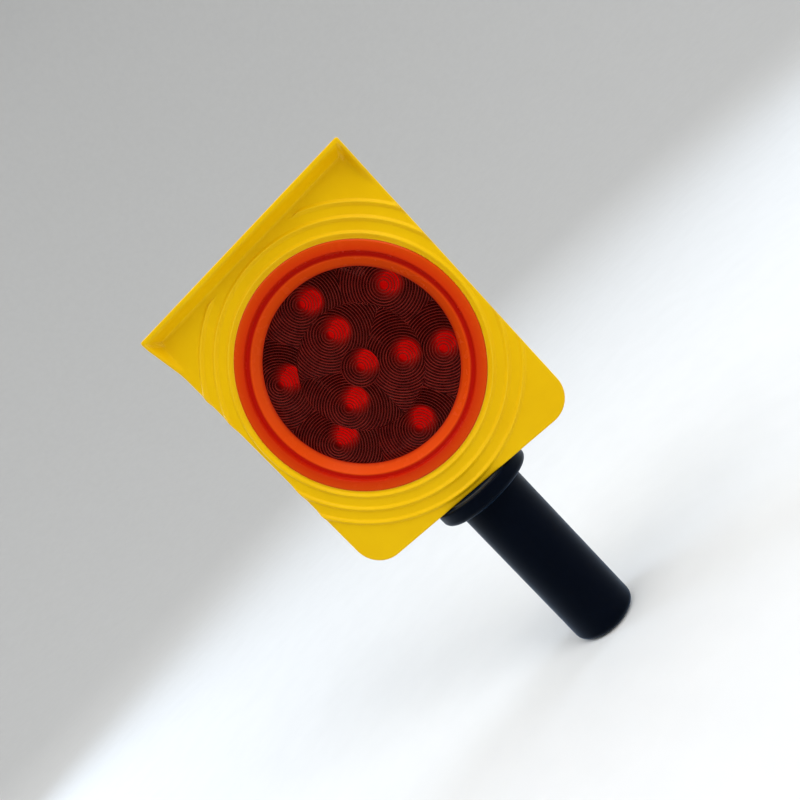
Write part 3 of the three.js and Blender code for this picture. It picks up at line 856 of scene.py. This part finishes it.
def prism_zone(own, low, high, half):
    """One zone as a closed block round its LED's axis. Each ring has a flat crest, a slope and a riser."""
    angles = [2 * math.pi * i / DIRECTIONS for i in range(DIRECTIONS)]
    if half is not None:
        spine = math.atan2(own[1], own[0])
        for radius in (low, high):
            for edge in (spine - half, spine + half):
                corner = radius * np.array([math.cos(edge), math.sin(edge)]) - own
                angles.append(math.atan2(corner[1], corner[0]) % (2 * math.pi))
    angles.sort()
    reaches = [zone_reach(own, a, low, high, half) + ZONE_OVERLAP for a in angles]
    rings = math.ceil((max(reaches) - CORE) / PITCH)
    path = [(CORE - 0.2, 0.12, CLEAR_PART), (CORE, 0.0, CREST_PART)]
    for k in range(rings):
        start = CORE + k * PITCH
        fall = ring_slope(start + PITCH / 2) * (PITCH - RISER - LAND)
        path.append((start + LAND, 0.0, CREST_PART))
        path.append((start + PITCH - RISER, fall, CLEAR_PART))
        path.append((start + PITCH, 0.0, CREST_PART))
    points = [(own[0], own[1], 0.05)]
    rows = []
    for share, drop, _ in path:
        row = []
        for angle, reach in zip(angles, reaches):
            rho, depth = (share, drop) if share <= reach else (reach, border_depth(reach))
            row.append(len(points))
            points.append((own[0] + rho * math.cos(angle), own[1] + rho * math.sin(angle), depth))
        rows.append(row)
    foot = []
    for angle, reach in zip(angles, reaches):
        foot.append(len(points))
        points.append((own[0] + reach * math.cos(angle), own[1] + reach * math.sin(angle), ZONE_DEEP))
    rows.append(foot)
    points.append((own[0], own[1], ZONE_DEEP))
    faces, finishes = [], []
    count = len(angles)
    for i in range(count):
        j = (i + 1) % count
        faces.append([0, rows[0][i], rows[0][j]])
        faces.append([len(points) - 1, foot[j], foot[i]])
        finishes += [CLEAR_PART, CLEAR_PART]
    parts = [part for _, _, part in path[1:]] + [CLEAR_PART]
    for a, b, part in zip(rows, rows[1:], parts):
        for i in range(count):
            j = (i + 1) % count
            faces.append([a[i], b[i], b[j], a[j]])
            finishes.append(part)
    return points, faces, finishes


def ring_slope(radius):
    """A ring's slope: steeper further out, as a lens that gathers its LED's light needs, up to a limit."""
    return min(radius / FOCUS, STEEPEST)


def border_depth(reach):
    """How deep the ring that meets the zone's border lies there."""
    start = CORE + math.floor((reach - CORE) / PITCH) * PITCH
    along = reach - start
    fall = ring_slope(start + PITCH / 2) * (PITCH - RISER - LAND)
    if along <= LAND:
        return 0.0
    if along <= PITCH - RISER:
        return fall * (along - LAND) / (PITCH - RISER - LAND)
    return fall * (PITCH - along) / RISER


def lens_rim():
    """The lens's turned body, with the place of the prism disc left as a recess."""
    flange_back = box_mm("lens_gasket")[0][1] - 0.3
    band = FACE - LENS_PROUD  # the front of the raised outer band
    cone, groove, groove_end, band_start, inner_wall = 42.8, 43.4, 44.7, 45.4, 44.9
    path = [
        (0, DISH + 0.5, 0),
        (PATTERN, DISH + 0.5, 0),
        (PATTERN, DISH - 0.02, 0),
        (PATTERN + 0.4, DISH - 0.25, 0.15),
        (cone, FACE + 0.75, 0.6),
        (groove, FACE + 1.0, 0.3),
        (groove_end, FACE + 0.9, 0.3),
        (band_start, band, 0.5),
        (LENS_RADIUS - 0.7, band + 0.05, 0.5),
        (LENS_RADIUS, FACE - 0.15, 0.35),
        (LENS_RADIUS, flange_back, 0.2),
        (inner_wall, flange_back, 0.2),
        (inner_wall, flange_back + 1.6, 0.5),
        (PATTERN + 3, DISH + LENS_THICK, 0.8),
        (0, DISH + LENS_THICK, 0),
    ]
    return rounded(path, 4)


def led_number(number, i):
    """The LEDs are numbered from the middle outwards, each ring from its topmost one."""
    return {1: 1, 3: 2, 6: 5}[number] + i


def lens():
    """The rim and the prism disc as one closed moulding: a clear middle and a milky border."""
    finishes = (LENS_CLEAR, LENS_CREST, LENS_MILKY_PAINTED_LIGHT)
    piece = lathe("lens_moulding", lens_rim(), (LENS_X, LENS_Z), "Y", 192)
    give(piece, *finishes)
    for face in piece.data.polygons:
        radius = math.hypot(face.center.x / MM - LENS_X, face.center.z / MM - LENS_Z)
        face.material_index = CLEAR_PART if radius < PATTERN + 0.03 else MILKY_PART
    for low, high, number in ZONES:
        half = math.pi / number if number > 1 else None
        for i in range(number):
            led = middle(f"led_{led_number(number, i)}")
            own = np.array([led[0] - LENS_X, led[2] - LENS_Z])
            flat, faces, parts = prism_zone(own, low, high, half)
            solid = [(LENS_X + x, DISH + deep, LENS_Z + z) for x, z, deep in flat]
            block = mesh_from("zone", solid, faces, parts=parts)
            give(block, *finishes)
            carve(piece, block, "UNION")
    smooth(piece, 12)
    return finish_piece(piece, BODY, "red_lens", "lens")


# What shows through the lens

LEDS = range(1, 11)


def reflector():
    """The dark plate behind the lens, with a cup round each LED."""
    low, high = box_mm("reflector_plate")
    front, back = low[1], low[1] + CUP_DEEP
    outer, skirt = (high[0] - low[0]) / 2, 43.9
    path = [
        (0, front, 0),
        (outer, front, 0.5),
        (outer, high[1], 0.3),
        (skirt, high[1], 0.3),
        (skirt, back, 0.5),
        (0, back, 0),
    ]
    profile = rounded(path, 3)
    plate = lathe("reflector_moulding", profile, (LENS_X, LENS_Z), "Y", 128)
    give(plate, INNER_BLACK, CUP_PAINTED_GLOW)
    mouth, waist, throat = 5.2, 4.6, 2.8
    cup = [(0, front - 1), (mouth, front - 1), (mouth, front), (waist, front + 1.1)]
    cup += [(throat, back - 1), (throat, back + 1), (0, back + 1)]
    for i in LEDS:
        x, _, z = middle(f"led_{i}")
        tool = lathe("cup", cup, (x, z), "Y", 48)
        give(tool, INNER_BLACK, CUP_PAINTED_GLOW)
        for face in tool.data.polygons:
            face.material_index = 1
        carve(plate, tool)
    smooth(plate)
    return finish_piece(plate, BODY, "black_inner", "reflector_plate")


def leds():
    """Ten LEDs: a dome on a short cylinder, with a flange at its foot."""
    radius, flange = 2.5, 2.9
    for i in LEDS:
        low, high = box_mm(f"led_{i}")
        x, _, z = middle(f"led_{i}")
        tip, base = low[1], high[1]
        profile = []
        for step in range(9):
            angle = step * math.pi / 16
            profile.append((radius * math.sin(angle), tip + radius * (1 - math.cos(angle))))
        profile += [(radius, base - 1.1), (2.75, base - 1.0), (flange, base - 0.85), (flange, base), (0, base)]
        piece = lathe(f"led_dome_{i}", profile, (x, z), "Y", 40, LED_RED)
        smooth(piece)
        finish_piece(piece, BODY, "led_red", f"led_{i}")


# The handle


def handle():
    """A closed tube, a wide collar with the seal's groove, and a neck that the shells hold."""
    _, high = box_mm("handle_tube")
    collar = high[0]
    under, top = 74.7, HEAD_BOTTOM - 0.5
    grip, neck, flange, bore, floor = 15.0, 11.3, 12.4, 10, 3.2
    seal_outer, seal_inner, seal_deep = 19.2, 17.4, 1.2
    flange_low, flange_high = HEAD_BOTTOM + WALL + 0.3, HEAD_BOTTOM + WALL + 3.3
    path = [
        (0, 0, 0),
        (grip - 0.2, 0, 3.0),
        (grip, under, 1.4),
        (collar, under, 2.6),
        (collar, top, 0.8),
        (seal_outer, top, 0.15),
        (seal_outer, top - seal_deep, 0.15),
        (seal_inner, top - seal_deep, 0.15),
        (seal_inner, top, 0.15),
        (neck, top, 0),
        (neck, flange_low, 0),
        (flange, flange_low, 0.3),
        (flange, flange_high, 0.3),
        (neck, flange_high, 0),
        (neck, high[2], 0.3),
        (bore, high[2], 0.3),
        (bore, floor, 0.5),
        (0, floor, 0),
    ]
    profile = rounded(path, 6)
    piece = lathe("handle_moulding", profile, (0, 0), "Z", 128, BLACK)
    smooth(piece)
    return finish_piece(piece, BODY, "black_handle", "handle_tube")


# The push button at the back


def button():
    """A rubber cap with a dished top and a hidden flange, and the bezel round it."""
    low, high = box_mm("button_cap")
    x, _, z = middle("button_cap")
    flange, flange_top, dish = high[0] - x, low[1] + 0.8, high[1] - 0.45
    path = [
        (0, low[1], 0),
        (flange, low[1], 0.2),
        (flange, flange_top, 0.2),
        (CAP_RADIUS, flange_top, 0.2),
        (CAP_RADIUS, high[1], 0.9),
        (CAP_RADIUS - 1.3, high[1], 0.3),
        (CAP_RADIUS - 2.2, dish, 0.5),
        (0, dish, 0),
    ]
    profile = rounded(path, 5)
    piece = lathe("button_cap_moulding", profile, (x, z), "Y", 96, RUBBER)
    smooth(piece)
    finish_piece(piece, "button", "button_black", "button_cap")
    low, high = box_mm("switch_bezel")
    inner, outer = CAP_RADIUS + CAP_GAP, (high[0] - low[0]) / 2
    ring = [(inner, low[1], 0.15), (outer, low[1], 0.15), (outer - 0.5, high[1], 0.35), (inner, high[1], 0.3)]
    bezel = lathe("switch_bezel_ring", rounded(ring, 5), (x, z), "Y", 96, BLACK)
    smooth(bezel)
    finish_piece(bezel, BODY, "button_black", "switch_bezel")


# The solar roof


def plate_loops(low, high, heights, corner):
    """Loops of a rounded rectangle, one for each (height, inset)."""
    loops = []
    for z, inset in heights:
        x0, y0, x1, y1 = low[0] + inset, low[1] + inset, high[0] - inset, high[1] - inset
        path = rounded([(x0, y0, corner), (x1, y0, corner), (x1, y1, corner), (x0, y1, corner)], 5)
        loops.append([(x, y, z) for x, y in path])
    return loops


def add_block(points, faces, x0, y0, x1, y1, z0, z1):
    """Adds a box to a mesh's lists of points and faces."""
    start = len(points)
    points += [(x, y, z) for z in (z0, z1) for x, y in ((x0, y0), (x1, y0), (x1, y1), (x0, y1))]
    sides = [[3, 2, 1, 0], [4, 5, 6, 7], [0, 1, 5, 4], [1, 2, 6, 5], [2, 3, 7, 6], [3, 0, 4, 7]]
    faces += [[start + v for v in side] for side in sides]


def solar_sheets():
    """The clear cover over the roof, and the panel's dark backing. Returns the backing's top."""
    low, high = box_mm("solar_window")
    heights = [(low[2], 0.25), (low[2] + 0.2, 0.05), (high[2] - 0.3, 0.05)]
    heights += [(high[2] - 0.08, 0.13), (high[2], 0.35)]
    window = loft("solar_window_cover", plate_loops(low, high, heights, 1.0), COVER)
    smooth(window, 24)
    finish_piece(window, BODY, "clear_cover", "solar_window")
    low, high = box_mm("solar_panel")
    top = high[2] - 0.22
    panel = loft("solar_panel_sheet", plate_loops(low, high, [(low[2], 0), (top, 0)], 1.0), CHIP)
    smooth(panel, 24)
    finish_piece(panel, BODY, "solar_cells", "solar_panel")
    return top


def solar_roof():
    """The sheets, and the cells with their silver bars and fingers raised from the backing."""
    top = solar_sheets()
    low, high = box_mm("solar_panel")
    columns, fingers, margin, gap = 10, 12, 2.0, 0.7
    bar_half, bar_end, finger_half, finger_gap = 0.22, 0.4, 0.06, 0.24
    cell_top, bar_top, finger_top = top + 0.14, top + 0.2, top + 0.17
    pitch = (high[0] - low[0] - 2 * margin + gap) / columns
    y0, y1 = low[1] + margin, high[1] - margin
    cells, silver = ([], []), ([], [])
    for column in range(columns):
        x0 = low[0] + margin + column * pitch
        x1 = x0 + pitch - gap
        add_block(*cells, x0, y0, x1, y1, top, cell_top)
        bars = [x0 + (x1 - x0) * share for share in (0.25, 0.75)]
        for x in bars:
            add_block(*silver, x - bar_half, y0 + bar_end, x + bar_half, y1 - bar_end, cell_top, bar_top)
        left = [x0 + 0.3] + [x + finger_gap for x in bars]
        right = [x - finger_gap for x in bars] + [x1 - 0.3]
        for k in range(fingers):
            y = y0 + (high[1] - low[1] - 2 * margin) * (k + 0.5) / fingers
            for xa, xb in zip(left, right):
                add_block(*silver, xa, y - finger_half, xb, y + finger_half, cell_top, finger_top)
    for name, (points, faces), finish in (("solar_cells", cells, SILICON), ("solar_fingers", silver, NICKEL)):
        piece = mesh_from(name, points, faces, finish)
        smooth(piece, 24)
        finish_piece(piece, BODY, "solar_cells")


# Screws in the back


def shell_screws():
    """Six screws with a crowned head and a cross recess."""
    head, shank, arm_long, arm_wide, arm_deep = 2.8, 1.2, 1.7, 0.32, 1.1
    for i in SHELL_SCREWS:
        low, high = box_mm(f"shell_screw_{i}")
        x, _, z = middle(f"shell_screw_{i}")
        point, top = low[1], high[1]
        seat = top - 1.9
        path = [(0, point, 0), (shank - 0.3, point, 0), (shank, point + 1, 0), (shank, seat, 0)]
        path += [(head, seat, 0.15), (head, top - 0.35, 0.45), (0, top, 0)]
        piece = lathe(f"shell_screw_turned_{i}", rounded(path, 4), (x, z), "Y", 48, STEEL)
        for wide, tall in ((arm_long, arm_wide), (arm_wide, arm_long)):
            corner = [(x - wide, z - tall), (x + wide, z - tall), (x + wide, z + tall), (x - wide, z + tall)]
            loops = [[(cx, y, cz) for cx, cz in corner] for y in (top - arm_deep, top + 1)]
            carve(piece, loft("cross", loops))
        smooth(piece, 28)
        finish_piece(piece, BODY, "screw_steel", f"shell_screw_{i}")


# Build

front_shell()
rear_shell()
lens()
reflector()
leds()
handle()
button()
solar_roof()
shell_screws()

FINISHES = (
    (RUBBER, ("shell_seal", "handle_seal")),
    (SILICONE, ("lens_gasket",)),
    (BOARD, ("main_board",)),
    (CHIP, ("controller_chip", "driver_inductor", "switch_body")),
    (STEEL, ("filter_capacitor", "battery_spring", "board_screw_1", "board_screw_2", "board_screw_3")),
    (NYLON, ("battery_connector", "solar_connector", "switch_plunger")),
    (WRAP, ("battery_cell",)),
    (NICKEL, ("battery_contact", "negative_strip")),
    (INNER_BLACK, ("battery_plug",)),
    (LEAD_RED, ("battery_lead_red", "solar_lead_red")),
    (LEAD_BLACK, ("battery_lead_black", "solar_lead_black")),
)
for finish, node_names in FINISHES:
    for node_name in node_names:
        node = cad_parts[node_name]
        node.data.materials.clear()
        give(node, finish)


# Stage, light and camera


def studio():
    """A pale round floor that sweeps up into a wall on every side."""
    flat, radius, high, segments = 1.8, 1.8, 4.0, 96  # metres
    floor_rings, sweep_rings = 6, 24
    profile = [(flat * k / floor_rings, 0.0) for k in range(1, floor_rings + 1)]
    for step in range(1, sweep_rings + 1):
        angle = step / sweep_rings * math.pi / 2
        profile.append((flat + radius * math.sin(angle), radius - radius * math.cos(angle)))
    profile.append((flat + radius, high))
    points, faces = [Vector((0, 0, 0))], []
    for r, z in profile:
        for i in range(segments):
            angle = 2 * math.pi * i / segments
            points.append(Vector((r * math.cos(angle), r * math.sin(angle), z)))
    for i in range(segments):
        j = (i + 1) % segments
        faces.append([0, 1 + i, 1 + j])
        for row in range(len(profile) - 1):
            a, b = 1 + row * segments, 1 + (row + 1) * segments
            faces.append([a + i, b + i, b + j, a + j])
    mesh = bpy.data.meshes.new("studio_bowl")
    mesh.from_pydata(points, [], faces)
    for face in mesh.polygons:
        face.use_smooth = True
    paper = moulded_plastic("pale_paper", (0.74, 0.74, 0.73), (0.72, 0.72, 0.71), None, (0.7, 0.8), 0.02)
    bowl = new_object("studio_bowl", mesh, paper)
    bowl.location.z = -0.0002  # clear of the lamp's foot


def area_light(name, at, aim, size, power, colour=(1, 1, 1)):
    """A soft rectangular light, in metres and watts, that points at its aim."""
    light = bpy.data.lights.new(name, "AREA")
    light.shape = "RECTANGLE"
    light.size, light.size_y = size
    light.energy = power
    light.color = colour
    lamp = new_object(name, light)
    lamp.location = at
    lamp.rotation_euler = (Vector(aim) - Vector(at)).to_track_quat("-Z", "Y").to_euler()


def lights():
    """A soft key light, a fill, a cool strip at each side for the rims, and a broad ceiling."""
    target = Vector((0, 0, 0.13))  # metres: the middle of the head
    blue = (0.68, 0.82, 1.0)
    area_light("key", target + Vector((0.62, -0.46, 0.64)), target, (0.5, 0.5), 4.4)
    area_light("top_fill", target + Vector((-0.5, -0.4, 1.3)), target, (0.9, 0.9), 4.6)
    area_light("left_strip", target + Vector((-0.8, 0.2, 0.4)), target, (0.35, 0.9), 3.6, blue)
    area_light("right_strip", target + Vector((0.8, 0.4, 0.4)), target, (0.35, 0.9), 3.2, blue)
    area_light("ceiling", (0, 0, 3.4), (0, 0, 0), (4.0, 4.0), 62.0)
    world = bpy.data.worlds.new("studio_air")
    world.use_nodes = True
    set_inputs(world.node_tree.nodes["Background"], Color=(0.88, 0.9, 0.93, 1), Strength=0.4)
    bpy.context.scene.world = world


def direction(azimuth, elevation):
    """The unit vector at an azimuth, measured from the lamp's front, and an elevation."""
    flat = math.cos(elevation)
    return Vector((math.sin(azimuth) * flat, -math.cos(azimuth) * flat, math.sin(elevation)))


def camera():
    """Stands off the lens a little to its right, and leans so that the lamp's top points up and left."""
    distance = 0.29033  # metres, from the middle of the lens's front
    aim_azimuth, roll = math.radians(13.43), math.radians(43.69)
    spot = Vector((LENS_X, FACE, LENS_Z)) * MM
    away = direction(math.radians(14.13), math.radians(1.277))
    back = direction(aim_azimuth, math.radians(5.14))
    level = Vector((math.cos(aim_azimuth), math.sin(aim_azimuth), 0))
    upright = back.cross(level)
    right = level * math.cos(roll) - upright * math.sin(roll)
    up = back.cross(right)
    data = bpy.data.cameras.new("camera")
    data.sensor_width = 36
    data.lens = 33.71
    data.clip_start, data.clip_end = 0.01, 50
    eye = new_object("camera", data)
    turn = Matrix((right, up, back)).transposed().to_4x4()
    eye.matrix_world = Matrix.Translation(spot + away * distance) @ turn
    bpy.context.scene.camera = eye


studio()
lights()
camera()
bpy.context.scene.view_settings.view_transform = "Standard"
